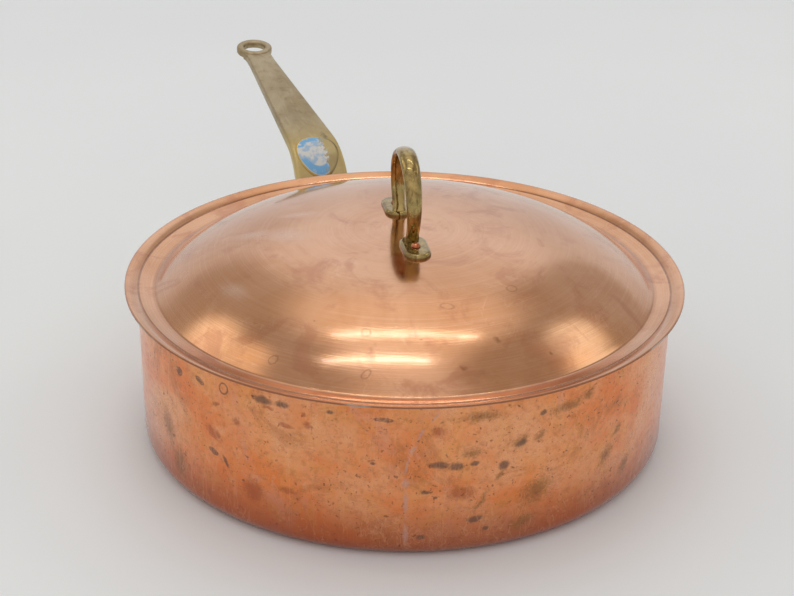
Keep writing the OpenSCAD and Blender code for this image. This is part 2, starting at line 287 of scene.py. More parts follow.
dark = wall_marks(tree, flat, [
    (-51.3, 62.0, 4.5, 4.0, 0), (-44.4, 63.6, 6, 2.6, -20), (-28.1, 66.0, 12, 5, 0),
    (-23.9, 66.2, 9, 4, 0), (-14.0, 66.9, 4.5, 2.6, 0), (-3.5, 65.5, 8.5, 1.8, -3),
    (-41.1, 32.4, 6, 2.6, -15),
    (-37.6, 29.8, 2.8, 7.5, 35), (-33.3, 24.0, 2.2, 1.8, 0), (-5.5, 44.9, 3.2, 1.8, 0),
    (28.4, 62.2, 4.5, 3.6, 30), (7.2, 44.3, 12, 4, 0), (10.6, 43.3, 9, 5, 0), (14.3, 43.9, 5, 3, 0),
    (20.3, 41.2, 6.5, 6, 0), (4.7, 31.6, 5, 2.8, -10), (6.8, 29.0, 2.4, 1.6, 0), (14.7, 17.1, 9, 4.6, 5),
    (4.0, 10.0, 5, 3, 0), (17.0, 12.1, 3.6, 2.2, 0), (23.8, 50.2, 6, 4, 30)], 0.26, 0.6)
colour = stain(tree, colour, dark, 0.82, (118, 84, 66))
pits = wall_marks(tree, flat, [
    (-37.6, 65.0, 5, 6, -30), (-44.4, 63.6, 6, 2.8, -20), (-41.1, 32.4, 6, 2.8, -15),
    (-51.3, 62.0, 4.6, 4.0, 0), (-3.5, 65.5, 8.5, 1.9, -3)], 0.12, 0.45, 1)
colour = stain(tree, colour, pits, 0.75, (92, 62, 54))
# a pale drip ran from the rim down to the base, bent by the wall's curve
drip = wall_marks(tree, flat, [
    (6.4, 66.8, 1.8, 8, -38), (3.6, 59.0, 1.8, 11, -22), (2.2, 52.0, 2.2, 7, -30), (1.0, 44.0, 1.8, 12, -8),
    (0.9, 36.0, 3.6, 6, 0), (1.0, 26.0, 2.4, 18, 0), (1.0, 11.0, 3.2, 16, 0)], 0.4, 0.8)
colour = stain(tree, colour, drip, 0.55, (196, 156, 150))
# specks gather where the tarnish does, some of them brown and some nearly black
gather = spread(tree, tarnish, 0.42, 0.6, 0.4, 1.0)
for scale, low, shade, shift in ((420.0, 0.64, (128, 66, 40), 2), (800.0, 0.66, (112, 62, 44), 5),
                                 (240.0, 0.68, (146, 78, 46), 8)):
    specks = noise(tree, moved(tree, flat, (shift, 9, 0)), scale, 2.5, 0.55, 0.4)
    specks = calc(tree, "MULTIPLY", spread(tree, specks, low, low + 0.05), gather)
    colour = stain(tree, colour, specks, 0.8, shade)
rubbed_and_highlit = use(tree, scratches, {"Vector": stretch(tree, flat, (2.2, 0.1, 1), (0, 0, 0.05)), "Scale": 130.0,
                               "Thin": 0.02, "Patchy": 0.5})["Mask"]
crossed = use(tree, scratches, {"Vector": stretch(tree, flat, (1, 0.3, 1), (0, 0, 0.75)), "Scale": 110.0,
                                "Thin": 0.02, "Patchy": 0.48})["Mask"]
swirled = use(tree, scratches, {"Vector": stretch(tree, flat, (1, 0.5, 1), (0, 0, -0.6), (3, 3, 0)),
                                "Scale": 220.0, "Thin": 0.035, "Patchy": 0.45})["Mask"]
marred = calc(tree, "MAXIMUM", calc(tree, "MAXIMUM", rubbed_and_highlit, crossed), swirled)
colour = stain(tree, colour, marred, 0.3, (240, 180, 134))
tree.links.new(colour, shader.inputs["Base Color"])
dull = calc(tree, "MAXIMUM", dark, calc(tree, "MULTIPLY", olive, 0.6))
satin = spread(tree, clouds, 0.3, 0.7, 0.24, 0.36)
satin = calc(tree, "ADD", satin, calc(tree, "MULTIPLY", dull, 0.2))
tree.links.new(calc(tree, "ADD", satin, calc(tree, "MULTIPLY", spread(tree, fine, 0.4, 0.7), 0.06)),
               shader.inputs["Roughness"])
uneven = noise(tree, stretch(tree, flat, (1, 0.5, 1), shift=(5, 5, 0)), 26.0, 2.0, 0.5)
relief = calc(tree, "SUBTRACT", uneven,
              calc(tree, "MULTIPLY", calc(tree, "MAXIMUM", dark, marred), 0.05))
relief = calc(tree, "ADD", relief, calc(tree, "MULTIPLY", fine, 0.03))
raise_relief(tree, shader, relief, 0.35, 0.0012)

bm = turned([(0, 0), (BASE_R, 0), (PAN_R, PAN_H), (PAN_R - PAN_COPPER, PAN_H),
             (BASE_R - PAN_COPPER, PAN_COPPER), (0, PAN_COPPER)],
            {1: (BEND_R, 10), 2: (0.4 * MM, 2), 3: (0.3 * MM, 2), 4: (BEND_R - PAN_COPPER, 10)})
pan_wall = make_piece("pan_copper_wall", bm, "pan", "pan_copper", "pan_body")
unrolled = pan_wall.data.uv_layers.new(name="unrolled")
for face in pan_wall.data.polygons:
    middle = math.atan2(face.center.y, face.center.x) - FRONT
    middle = (middle + math.pi) % math.tau - math.pi
    for corner in face.loop_indices:
        spot = pan_wall.data.vertices[pan_wall.data.loops[corner].vertex_index].co
        away = math.atan2(spot.y, spot.x) - FRONT - middle if spot.xy.length > 1e-5 else 0
        away = (away + math.pi) % math.tau - math.pi
        unrolled.data[corner].uv = ((middle + away) * PAN_R, spot.z + spot.xy.length - PAN_R)
pan_wall.data.materials.append(pan_copper)

# ---- The linings ------------------------------------------------------------------------------
# A thin pale metal skin bonded to the inside of the pan and of the lid. Spoons and scouring have
# left fine round scratches in it.
PAN_LINING = 0.4 * MM
LID_COPPER = 1.0 * MM
LID_LINING = 0.35 * MM
# the lid's lining stops this far inside the copper's edge
LINING_SHY = 0.6 * MM
lid_low, lid_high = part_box("lid_shell")
LID_R = (lid_high.x - lid_low.x) / 2
# the height of the flange's outside at its edge, with the lid lying on the pan
EDGE_Z = 74.81 * MM
FLANGE_W = 13.5 * MM
FLANGE_DROP = 3.8 * MM
DOME_R = LID_R - FLANGE_W
FOOT_Z = EDGE_Z - FLANGE_DROP
DOME_H = lid_high.z - FOOT_Z
DOME_POWER = 3.5
DOME_STEPS = 44


def dome_z(radius):
    """Height of the dome's outside at a radius."""
    return FOOT_Z + DOME_H * (1 - (radius / DOME_R) ** DOME_POWER)


def lid_surface(depth):
    """The lid's section from its middle to its edge, at a depth under its outside."""
    section = []
    for step in range(DOME_STEPS + 1):
        radius = DOME_R * step / DOME_STEPS
        fall = DOME_H * DOME_POWER * (radius / DOME_R) ** (DOME_POWER - 1) / DOME_R
        across = math.hypot(1, fall)
        section.append((max(0.0, radius - depth * fall / across), dome_z(radius) - depth / across))
    slope = math.atan2(FLANGE_DROP, FLANGE_W)
    if depth:
        inner = DOME_R + depth * math.sin(slope)
        section[-1] = (inner, FOOT_Z + (inner - DOME_R) * math.tan(slope) - depth / math.cos(slope))
    section.append((LID_R, EDGE_Z - depth / math.cos(slope)))
    return section


lining_metal, tree, shader = start_finish("lining_metal", Metallic=1.0, Anisotropic=0.4)
place = put(tree, "TexCoord").outputs["Object"]
parts = put(tree, "SeparateXYZ", {0: place}).outputs
radius = off_axis(tree, place)
circling = put(tree, "CombineXYZ", {0: calc(tree, "MULTIPLY", radius, 900.0),
                                    1: calc(tree, "MULTIPLY", parts[0], 14.0),
                                    2: calc(tree, "MULTIPLY", parts[1], 14.0)}).outputs[0]
turned_lines = noise(tree, circling, 1.0, 3.0, 0.6)
greyed = noise(tree, place, 30.0, 5.0, 0.6, 0.5)
colour = tone(tree, spread(tree, greyed, 0.35, 0.7), paint(206, 204, 198), paint(176, 172, 164))
scoured = use(tree, scratches, {"Vector": place, "Scale": 90.0, "Thin": 0.018, "Patchy": 0.45})["Mask"]
colour = stain(tree, colour, scoured, 0.35, (236, 234, 230))
tree.links.new(colour, shader.inputs["Base Color"])
tree.links.new(spread(tree, turned_lines, 0.3, 0.7, 0.24, 0.4), shader.inputs["Roughness"])
relief = calc(tree, "ADD", turned_lines, calc(tree, "MULTIPLY", scoured, -0.6))
raise_relief(tree, shader, relief, 0.3, 0.0002)

inside = PAN_COPPER + PAN_LINING
bm = turned([(0, PAN_COPPER), (BASE_R - PAN_COPPER, PAN_COPPER), (PAN_R - PAN_COPPER, PAN_H),
             (PAN_R - inside, PAN_H), (BASE_R - inside, inside), (0, inside)],
            {1: (BEND_R - PAN_COPPER, 10), 4: (BEND_R - inside, 10), 3: (0.2 * MM, 2)})
pan_skin = make_piece("pan_inner_lining", bm, "pan", "lining_metal", "pan_lining")
pan_skin.data.materials.append(lining_metal)

bm = turned(lid_surface(LID_COPPER) + lid_surface(LID_COPPER + LID_LINING)[::-1], {})
for v in bm.verts:
    if v.co.xy.length > LID_R - 0.01 * MM:
        v.co.xy *= 1 - LINING_SHY / LID_R
lid_skin = make_piece("lid_under_lining", bm, "lid", "lining_metal", "lid_lining")
lid_skin.data.materials.append(lining_metal)

# ---- The lid's copper dome --------------------------------------------------------------------
# Pressed from one round of copper: a dome, a crisp crease at its foot, and a flange that dishes
# down to the crease and carries one pressed line. It is brushed in rings; its cut edge is tinned.
LINE_R = LID_R - 6 * MM
LINE_HALF = 0.55 * MM
LINE_DEEP = 0.4 * MM
CREASE = DOME_STEPS

brushing, came_in, going_out = effect(
    "ring_brushing",
    [("Vector", "Vector", None), ("Fineness", "Float", 2200.0), ("Streak", "Float", 20.0)],
    [("Lines", "Float"), ("Bands", "Float")])
away = off_axis(brushing, came_in["Vector"])
parts = put(brushing, "SeparateXYZ", {0: came_in["Vector"]}).outputs


def rings(tree, away, parts, fineness, streak, detail):
    """Noise drawn out round the lid's middle: fine across the radius, long around it."""
    along = [calc(tree, "MULTIPLY", part, streak) for part in parts[:2]]
    return noise(tree, put(tree, "CombineXYZ", {0: calc(tree, "MULTIPLY", away, fineness),
                                                1: along[0], 2: along[1]}).outputs[0], 1.0, detail, 0.6)


brushing.links.new(rings(brushing, away, parts, came_in["Fineness"], came_in["Streak"], 4.0),
                   going_out.inputs[0])
brushing.links.new(rings(brushing, away, parts, calc(brushing, "MULTIPLY", came_in["Fineness"], 0.12),
                         calc(brushing, "MULTIPLY", came_in["Streak"], 0.6), 3.0), going_out.inputs[1])

lid_copper, tree, shader = start_finish(
    "brushed_copper", Metallic=1.0, Anisotropic=0.3, Coat_Weight=0.45, Coat_Roughness=0.0)
place = put(tree, "TexCoord").outputs["Object"]
parts = put(tree, "SeparateXYZ", {0: place}).outputs
brushed = use(tree, brushing, {"Vector": place, "Fineness": 2200.0, "Streak": 20.0})
clouds = noise(tree, place, 15.0, 5.0, 0.6, 0.6)
smudge = noise(tree, moved(tree, place, (4, 4, 4)), 48.0, 6.0, 0.62, 0.8)
colour = tone(tree, spread(tree, clouds, 0.35, 0.68), paint(220, 166, 126), paint(204, 144, 98))
colour = stain(tree, colour, spread(tree, brushed["Lines"], 0.42, 0.7), 0.26, (236, 188, 160))
colour = stain(tree, colour, spread(tree, brushed["Bands"], 0.5, 0.75), 0.1, (190, 130, 98))
colour = stain(tree, colour, spread(tree, smudge, 0.5, 0.68), 0.5, (184, 118, 86))
# pale dry patches near the middle, small brown specks, and little hooked scratches
dry = None
for x, y, wide, tall, turn in ((21.7, 63.7, 30, 12, 60), (31.9, 39.9, 26, 9, 75), (12, 52, 34, 20, 50),
                               (-20, 84, 26, 12, 20)):
    one = use(tree, mark, {"Vector": place, "Place": (x * MM, y * MM, 92 * MM),
                           "Size": (wide / 2 * MM, tall / 2 * MM, 30 * MM),
                           "Turn": (0, 0, math.radians(turn)), "Ragged": 0.22, "Soft": 0.95})["Mask"]
    dry = one if dry is None else calc(tree, "MAXIMUM", dry, one)
colour = stain(tree, colour, dry, 0.5, (226, 192, 172))
for x, y, wide, tall in ((-64.0, -25.7, 5.5, 4.5), (-71.1, 5.9, 6.5, 4.0), (-75.0, 42.4, 4.6, 4.0),
                         (-67.9, 79.8, 4.5, 4.0), (-92.3, 47.8, 5.0, 3.4)):
    hook = use(tree, mark, {"Vector": place, "Place": (x * MM, y * MM, 90 * MM),
                            "Size": (wide / 2 * MM, tall / 2 * MM, 60 * MM), "Turn": (0, 0, x),
                            "Ragged": 0.16, "Soft": 0.4})["Rim"]
    colour = stain(tree, colour, hook, 0.4, (136, 92, 66))
for x, y, wide in ((-91.6, -8.6, 5), (-101.2, 9.3, 4), (-86, 22, 2.5), (-98, -30, 3), (-60, 60, 2)):
    spot = use(tree, mark, {"Vector": place, "Place": (x * MM, y * MM, 85 * MM),
                            "Size": (wide / 2 * MM, wide / 3 * MM, 60 * MM), "Turn": (0, 0, 1.2),
                            "Ragged": 0.4, "Soft": 0.9})["Mask"]
    colour = stain(tree, colour, spot, 0.6, (140, 88, 48))
hairs = use(tree, scratches, {"Vector": place, "Scale": 70.0, "Thin": 0.012, "Patchy": 0.46})["Mask"]
colour = stain(tree, colour, hairs, 0.2, (240, 200, 170))
# old polish, grime and painted shade darken the pressed line, the crease at the dome's foot and the outer
# edge, in patches
radius = off_axis(tree, place)
held = noise(tree, place, 180.0, 4.0, 0.6)
for middle, near, far, amount in ((LINE_R, 0.15, 0.7, 0.6), (DOME_R + 0.4 * MM, 0.2, 1.6, 0.3),
                                  (LID_R, 0.3, 1.0, 0.3)):
    off = calc(tree, "ABSOLUTE", calc(tree, "SUBTRACT", radius, middle))
    grime_and_shade = calc(tree, "MULTIPLY", spread(tree, off, far * MM, near * MM),
                 spread(tree, held, 0.3, 0.55, amount * 0.6, amount))
    colour = tone(tree, grime_and_shade, colour, paint(132, 78, 56))
tree.links.new(colour, shader.inputs["Base Color"])
tree.links.new(tree.nodes.new("ShaderNodeTangent").outputs[0], shader.inputs["Tangent"])
tree.nodes["Tangent"].direction_type = "RADIAL"
tree.nodes["Tangent"].axis = "Z"
satin = spread(tree, brushed["Bands"], 0.3, 0.7, 0.115, 0.16)
satin = calc(tree, "ADD", satin, calc(tree, "MULTIPLY", spread(tree, smudge, 0.5, 0.75), 0.08))
satin = calc(tree, "ADD", satin, calc(tree, "MULTIPLY", dry, 0.14))
tree.links.new(satin, shader.inputs["Roughness"])
raise_relief(tree, shader, brushed["Lines"], 0.2, 0.00008)

tinned_edge, tree, shader = start_finish("tinned_edge", Metallic=1.0)
place = put(tree, "TexCoord").outputs["Object"]
bare = spread(tree, noise(tree, place, 22.0, 5.0, 0.6), 0.52, 0.62)
colour = tone(tree, bare, paint(164, 108, 80), paint(182, 172, 160))
tree.links.new(colour, shader.inputs["Base Color"])
tree.links.new(spread(tree, noise(tree, place, 700.0), 0.3, 0.7, 0.3, 0.5), shader.inputs["Roughness"])

outside = lid_surface(0)
slope = FLANGE_DROP / FLANGE_W
for spot, sink in ((LINE_R - LINE_HALF, 0), (LINE_R, LINE_DEEP), (LINE_R + LINE_HALF, 0)):
    outside.insert(-1, (spot, EDGE_Z - (LID_R - spot) * slope - sink))
edge = len(outside) - 1
bm = turned(outside + lid_surface(LID_COPPER)[::-1],
            {CREASE: (0.9 * MM, 3), CREASE + 2: (0.2 * MM, 2), edge: (0.4 * MM, 4)})
lid_dome = make_piece("lid_copper_dome", bm, "lid", "lid_copper", "lid_shell")
lid_dome.data.materials.append(lid_copper)
lid_dome.data.materials.append(tinned_edge)
for face in lid_dome.data.polygons:
    if face.center.xy.length > LID_R - 0.06 * MM and abs(face.normal.z) < 0.8:
        face.material_index = 1

# ---- The lid's loop handle --------------------------------------------------------------------
# A cast brass strap bent into a loop, rounded outside and flatter inside, that narrows down to
# two flat rounded feet lying on the dome. Its colour carries painted dark reflections, and painted shade
# low down by the dome.
LID_TURN = math.radians(-8.5)
dome_top = lid_high.z
LOOP_R = 20.2 * MM
LOOP_Z = dome_top + 15.1 * MM
LOOP_HALF_SWEEP = math.radians(112)
LEG = 7.7 * MM
LOOP_T = 4.5 * MM
LOOP_W = (4.9 * MM, 8.4 * MM)
FOOT_NEAR, FOOT_FAR = 12.6 * MM, 34.6 * MM
FOOT_W, FOOT_T = 12.2 * MM, 2.0 * MM
FOOT_RIVET = 25 * MM


def swept(bm, ring, stations):
    """Draws a closed ring of edges through a list of placings, and closes both ends."""
    edges = [e for e in bm.edges if e.verts[0] in ring and e.verts[1] in ring]
    bmesh.ops.transform(bm, matrix=stations[0], verts=ring)
    bmesh.ops.contextual_create(bm, geom=edges)
    for before, after in zip(stations, stations[1:]):
        grown = bmesh.ops.extrude_edge_only(bm, edges=edges)["geom"]
        ring = [g for g in grown if isinstance(g, bmesh.types.BMVert)]
        edges = [g for g in grown if isinstance(g, bmesh.types.BMEdge)
                 and g.verts[0] in ring and g.verts[1] in ring]
        bmesh.ops.transform(bm, matrix=after @ before.inverted(), verts=ring)
    bmesh.ops.contextual_create(bm, geom=edges)


def placing(spot, along, side, wide, thick):
    """Puts a unit ring's X across the strap, its Y through it and its Z along it."""
    through = along.cross(side).normalized()
    turn = Matrix((side, through, along)).transposed().to_4x4()
    return Matrix.Translation(spot) @ turn @ Matrix.Diagonal((wide, thick, 1, 1))


def off_bench(worked, *tools):
    """The bmesh of an object with its modifiers applied; the objects are cleared away."""
    bpy.context.view_layer.update()
    result = bmesh.new()
    result.from_object(worked, bpy.context.evaluated_depsgraph_get())
    for used in (worked,) + tools:
        mesh = used.data
        bpy.data.objects.remove(used)
        bpy.data.meshes.remove(mesh)
    return result


def joined(*shells):
    """One clean shell from overlapping ones."""
    for shell in shells:
        bmesh.ops.recalc_face_normals(shell, faces=shell.faces)
    first, *others = [on_bench(shell, "part_%d" % index) for index, shell in enumerate(shells)]
    for other in others:
        union = first.modifiers.new("union", "BOOLEAN")
        union.operation, union.solver, union.object = "UNION", "EXACT", other
    return off_bench(first, *others)


def smoothed(bm, levels):
    """The bmesh as its subdivision surface."""
    cage = on_bench(bm, "cage")
    soft = cage.modifiers.new("soft", "SUBSURF")
    soft.levels = soft.render_levels = levels
    return off_bench(cage)


ACROSS = Vector((0, 1, 0))
path = []
leg_dir = Vector((math.cos(LOOP_HALF_SWEEP), 0, -math.sin(LOOP_HALF_SWEEP)))
for share in (1.0, 0.8, 0.5, 0.2):
    end = Vector((math.sin(LOOP_HALF_SWEEP), 0, math.cos(LOOP_HALF_SWEEP))) * LOOP_R
    path.append((end + leg_dir * LEG * share, -leg_dir))
ARCH_STEPS = 14
for step in range(ARCH_STEPS + 1):
    angle = LOOP_HALF_SWEEP * (1 - step / ARCH_STEPS)
    path.append((Vector((math.sin(angle), 0, math.cos(angle))) * LOOP_R,
                 Vector((-math.cos(angle), 0, math.sin(angle)))))
path += [(Vector((-spot.x, 0, spot.z)), Vector((-way.x, 0, way.z)) * -1) for spot, way in path[-2::-1]]
# each leg widens again where it runs into its foot
FLARE_TOP, FLARE_TALL = -11.2 * MM, 3.6 * MM
stations = []
for spot, way in path:
    rise = (spot.z + LOOP_R) / (2 * LOOP_R)
    wide = LOOP_W[0] + (LOOP_W[1] - LOOP_W[0]) * rise
    foot_flare = max(0.0, (FLARE_TOP - spot.z) / FLARE_TALL) ** 2
    stations.append(placing(spot + Vector((0, 0, LOOP_Z)), way, ACROSS, wide / 2 * (1 + 0.5 * foot_flare),
                            LOOP_T / 2 * (1 + 0.25 * foot_flare)))
loop_bm = bmesh.new()
# a round section, flattened and a little broader on its inner side
ring = bmesh.ops.create_circle(loop_bm, cap_ends=False, segments=14, radius=1)["verts"]
for v in ring:
    if v.co.y > 0:
        v.co.y = min(v.co.y, 0.72)
        v.co.x *= 1.04
swept(loop_bm, ring, stations)
loop_bm = smoothed(loop_bm, 2)

# how far each foot reaches down into the dome's copper
FOOT_SUNK = 0.6 * MM
feet = []
for foot_turn in (0, math.pi):
    foot = bmesh.new()
    bmesh.ops.create_circle(foot, cap_ends=True, segments=40, radius=FOOT_W / 2)
    far_half = [v for v in foot.verts if v.co.x > 0]
    bmesh.ops.translate(foot, vec=(FOOT_FAR - FOOT_NEAR - FOOT_W, 0, 0), verts=far_half)
    bmesh.ops.translate(foot, vec=(FOOT_NEAR + FOOT_W / 2, 0, 0), verts=foot.verts)
    body = bmesh.ops.extrude_face_region(foot, geom=foot.faces[:])["geom"]
    top = [g for g in body if isinstance(g, bmesh.types.BMVert)]
    bmesh.ops.translate(foot, vec=(0, 0, FOOT_T + FOOT_SUNK), verts=top)
    upper_edge = [e for e in foot.edges if e.verts[0] in top and e.verts[1] in top]
    bmesh.ops.bevel(foot, geom=upper_edge, offset=1.5 * MM, segments=6, affect="EDGES", profile=0.5,
                    material=-1)
    for cut in range(14, 34, 4):
        bmesh.ops.bisect_plane(foot, geom=foot.verts[:] + foot.edges[:] + foot.faces[:],
                               plane_co=(cut * MM, 0, 0), plane_no=(1, 0, 0))
    for v in foot.verts:
        v.co.z += dome_z(v.co.xy.length) - FOOT_SUNK
    bmesh.ops.rotate(foot, cent=(0, 0, 0), matrix=Matrix.Rotation(foot_turn, 3, "Z"), verts=foot.verts)
    feet.append(foot)
bm = joined(loop_bm, *feet)
bmesh.ops.rotate(bm, cent=(0, 0, 0), matrix=Matrix.Rotation(LID_TURN, 3, "Z"), verts=bm.verts)
lid_loop = make_piece("lid_loop_handle", bm, "lid", "loop_brass", "lid_handle", sharp=50)

loop_brass, tree, shader = start_finish("handled_brass", Metallic=1.0, Coat_Weight=0.5, Coat_Roughness=0.02)
place = put(tree, "TexCoord").outputs["Object"]
clouds = noise(tree, place, 120.0, 4.0, 0.6, 0.5)
colour = tone(tree, spread(tree, clouds, 0.35, 0.7), paint(178, 154, 94), paint(138, 113, 62))
# painted dark reflections, drawn out upright along the loop
dark_reflection_streaks = noise(tree, stretch(tree, place, (1, 1, 0.12), shift=(3, 3, 3)), 620.0, 4.0, 0.6, 0.3)
colour = stain(tree, colour, spread(tree, dark_reflection_streaks, 0.5, 0.68), 0.6, (92, 66, 32))
# grime in patches, and painted shade on the sides of the feet and the bottoms of the legs, low down by the
# dome
grime_and_shade = noise(tree, moved(tree, place, (3, 3, 3)), 240.0, 5.0, 0.65, 0.5)
height = put(tree, "SeparateXYZ", {0: place}).outputs[2]
low = spread(tree, height, dome_top + 1.4 * MM, dome_top - 0.4 * MM)
grime_and_shade = calc(tree, "MAXIMUM", calc(tree, "MULTIPLY", spread(tree, grime_and_shade, 0.54, 0.7), 0.5),
             calc(tree, "MULTIPLY", low, 0.4))
colour = tone(tree, grime_and_shade, colour, paint(96, 72, 38))
tree.links.new(colour, shader.inputs["Base Color"])
satin = calc(tree, "ADD", spread(tree, clouds, 0.3, 0.7, 0.05, 0.1), calc(tree, "MULTIPLY", grime_and_shade, 0.18))
tree.links.new(satin, shader.inputs["Roughness"])
nicks = use(tree, scratches, {"Vector": place, "Scale": 260.0, "Thin": 0.02, "Patchy": 0.5})["Mask"]
ripples = noise(tree, stretch(tree, place, (1, 1, 0.2)), 170.0, 2.0, 0.4)
relief = calc(tree, "SUBTRACT", ripples, calc(tree, "MULTIPLY", nicks, 0.15))
raise_relief(tree, shader, relief, 0.4, 0.0012)
lid_loop.data.materials.append(loop_brass)

# ---- The lid's rivets -------------------------------------------------------------------------
# A copper rivet through each foot of the loop, its head hammered to a small button on top and a
# flatter one under the lid.
rivet_copper, tree, shader = start_finish("hammered_copper", Metallic=1.0)
place = put(tree, "TexCoord").outputs["Object"]
dents = noise(tree, place, 500.0, 2.0, 0.5)
colour = tone(tree, spread(tree, dents, 0.35, 0.65), paint(214, 140, 104), paint(176, 100, 66))
tree.links.new(colour, shader.inputs["Base Color"])
tree.links.new(spread(tree, noise(tree, place, 900.0), 0.3, 0.7, 0.2, 0.36), shader.inputs["Roughness"])
raise_relief(tree, shader, dents, 0.5, 0.0004)


def rivet(shank_r, head_r, head_h, tail_r, tail_h, length):
    """A rivet along +Z: a domed head on top of its shank and a flatter one below."""
    return turned([(0, -tail_h), (tail_r * 0.7, -tail_h * 0.85), (tail_r, 0), (shank_r, 0),
                   (shank_r, length), (head_r, length), (head_r * 0.74, length + head_h * 0.72),
                   (0, length + head_h)],
                  {1: (tail_r * 0.2, 3), 5: (head_r * 0.12, 2), 6: (head_r * 0.3, 4)}, steps=32)


sheet = LID_COPPER + LID_LINING
for name, node, way in (("lid_rivet_outer", "lid_rivet_front", -1),
                        ("lid_rivet_inner", "lid_rivet_back", 1)):
    bm = rivet(shank_r=1.7 * MM, head_r=2.2 * MM, head_h=1.8 * MM, tail_r=3.2 * MM, tail_h=1.2 * MM,
               length=FOOT_T + sheet + 0.05 * MM)
    bmesh.ops.translate(bm, vec=(way * FOOT_RIVET, 0, dome_z(FOOT_RIVET) - sheet), verts=bm.verts)
    bmesh.ops.rotate(bm, cent=(0, 0, 0), matrix=Matrix.Rotation(LID_TURN, 3, "Z"), verts=bm.verts)
    make_piece(name, bm, "lid", "rivet_copper", node).data.materials.append(rivet_copper)

# ---- The strap handle -------------------------------------------------------------------------
# Cast brass: a tapering strap with rounded edges, bent down to a three-lobed plate on the wall
# and ending in a ring to hang it by.
EYE = Vector((267 * MM, 0, 97.6 * MM))
STRAP_RISE = math.radians(6.9)
EYE_R, EYE_HOLE_R, EYE_T = 9.9 * MM, 5.9 * MM, 4.0 * MM
KNEE_X = PAN_R + 32 * MM
KNEE_R = 29.7 * MM
KNEE_SWEEP = math.radians(57)
STRAP_T = 5.4 * MM
NECK_W, NECK_X = 14.4 * MM, 250 * MM
STRAP_TAPER = 0.109
PLATE_T = 4.6 * MM
PLATE_RIVETS = ((20 * MM, 51 * MM), (-20 * MM, 51 * MM), (0, 29 * MM))
PLATE_LOBE_R = 9 * MM
SIDE = Vector((0, 1, 0))

knee_top = EYE.z + EYE_T / 2 - (EYE.x - KNEE_X) * math.tan(STRAP_RISE)
knee = Vector((KNEE_X + KNEE_R * math.sin(STRAP_RISE), 0, knee_top - KNEE_R * math.cos(STRAP_RISE)))


def strap_width(x):
    """The strap narrows evenly from its bend to its neck."""
    return NECK_W + max(0.0, NECK_X - x) * STRAP_TAPER


def placed_along(angle, radius):
    """A point of the strap's bend and the strap's direction there, from the plate towards the eye."""
    spot = knee + Vector((math.cos(angle), 0, math.sin(angle))) * radius
    return spot, Vector((math.sin(angle), 0, -math.cos(angle)))


# its middle line: up out of the plate, round the bend and out to the eye
bend_mid = KNEE_R - STRAP_T / 2
first, last = math.pi / 2 + STRAP_RISE + KNEE_SWEEP, math.pi / 2 + STRAP_RISE
start, way = placed_along(first, bend_mid)
path = [(start - way * reach * MM, way, STRAP_T) for reach in (19, 14, 9, 4)]
BEND_STEPS, STRAP_STEPS = 12, 28
path += [placed_along(first + (last - first) * step / BEND_STEPS, bend_mid) + (STRAP_T,)
         for step in range(BEND_STEPS + 1)]
end, way = placed_along(last, bend_mid)
EYE_OVERLAP = 6.3 * MM
straight = EYE.x - EYE_OVERLAP - end.x
for step in range(1, STRAP_STEPS + 1):
    share = 1 - (1 - step / STRAP_STEPS) ** 1.7
    spot = end + Vector((straight, 0, straight * math.tan(STRAP_RISE))) * share
    path.append((spot, way, STRAP_T + (EYE_T - STRAP_T) * share))


def outline(bm, points):
    """A closed ring of edges through the points."""
    ring = [bm.verts.new(point) for point in points]
    for a, b in zip(ring, ring[1:] + ring[:1]):
        bm.edges.new((a, b))
    return ring


# the section is drawn once, with its top a little crowned, and stretched to each place's width
SECTION_W, SECTION_T = 24 * MM, 5.2 * MM
CROWN = 0.06
strap_bm = bmesh.new()
ring = outline(strap_bm, [(x * SECTION_W / 2, y * SECTION_T / 2, 0)
                          for x, y in ((1, 1), (-1, 1), (-1, -1), (1, -1))])
bmesh.ops.bevel(strap_bm, geom=ring, offset=1.3 * MM, segments=4, affect="VERTICES", profile=0.5,
                material=-1)
bmesh.ops.subdivide_edges(strap_bm, edges=[e for e in strap_bm.edges if e.calc_length() > SECTION_W / 2],
                          cuts=7)
for v in strap_bm.verts:
    v.co.y *= 1 + CROWN * (1 - (v.co.x / (SECTION_W / 2)) ** 2)
FILLET_R = 14 * MM
neck_reach = math.sqrt((EYE_R + FILLET_R) ** 2 - (NECK_W / 2 + FILLET_R) ** 2)
stations = []
for spot, way, thick in path:
    wide = strap_width(spot.x)
    flare = spot.x - (EYE.x - neck_reach)
    if flare > 0:
        wide = 2 * (NECK_W / 2 + FILLET_R - math.sqrt(FILLET_R ** 2 - flare ** 2))
    stations.append(placing(spot, way, SIDE, wide / SECTION_W, thick / SECTION_T))
stations.append(placing(spot + way * 0.3 * MM, way, SIDE, (wide - 0.8 * MM) / SECTION_W,
                        (EYE_T - 0.4 * MM) / SECTION_T))
swept(strap_bm, strap_bm.verts[:], stations)

eye_bm = bmesh.new()
ring = outline(eye_bm, [(x, 0, z * EYE_T / 2) for x, z in (
    (EYE_HOLE_R, 1), (EYE_R, 1), (EYE_R, -1), (EYE_HOLE_R, -1))])
bmesh.ops.bevel(eye_bm, geom=ring, offset=1.1 * MM, segments=4, affect="VERTICES", profile=0.5,
                material=-1)
bmesh.ops.spin(eye_bm, geom=eye_bm.verts[:] + eye_bm.edges[:], cent=(0, 0, 0), axis=(0, 0, 1),
               angle=math.tau, steps=64, use_merge=True)
bmesh.ops.remove_doubles(eye_bm, verts=eye_bm.verts, dist=1e-6)
bmesh.ops.transform(eye_bm, matrix=Matrix.Translation(EYE) @ Matrix.Rotation(-STRAP_RISE, 4, "Y"),
                    verts=eye_bm.verts)

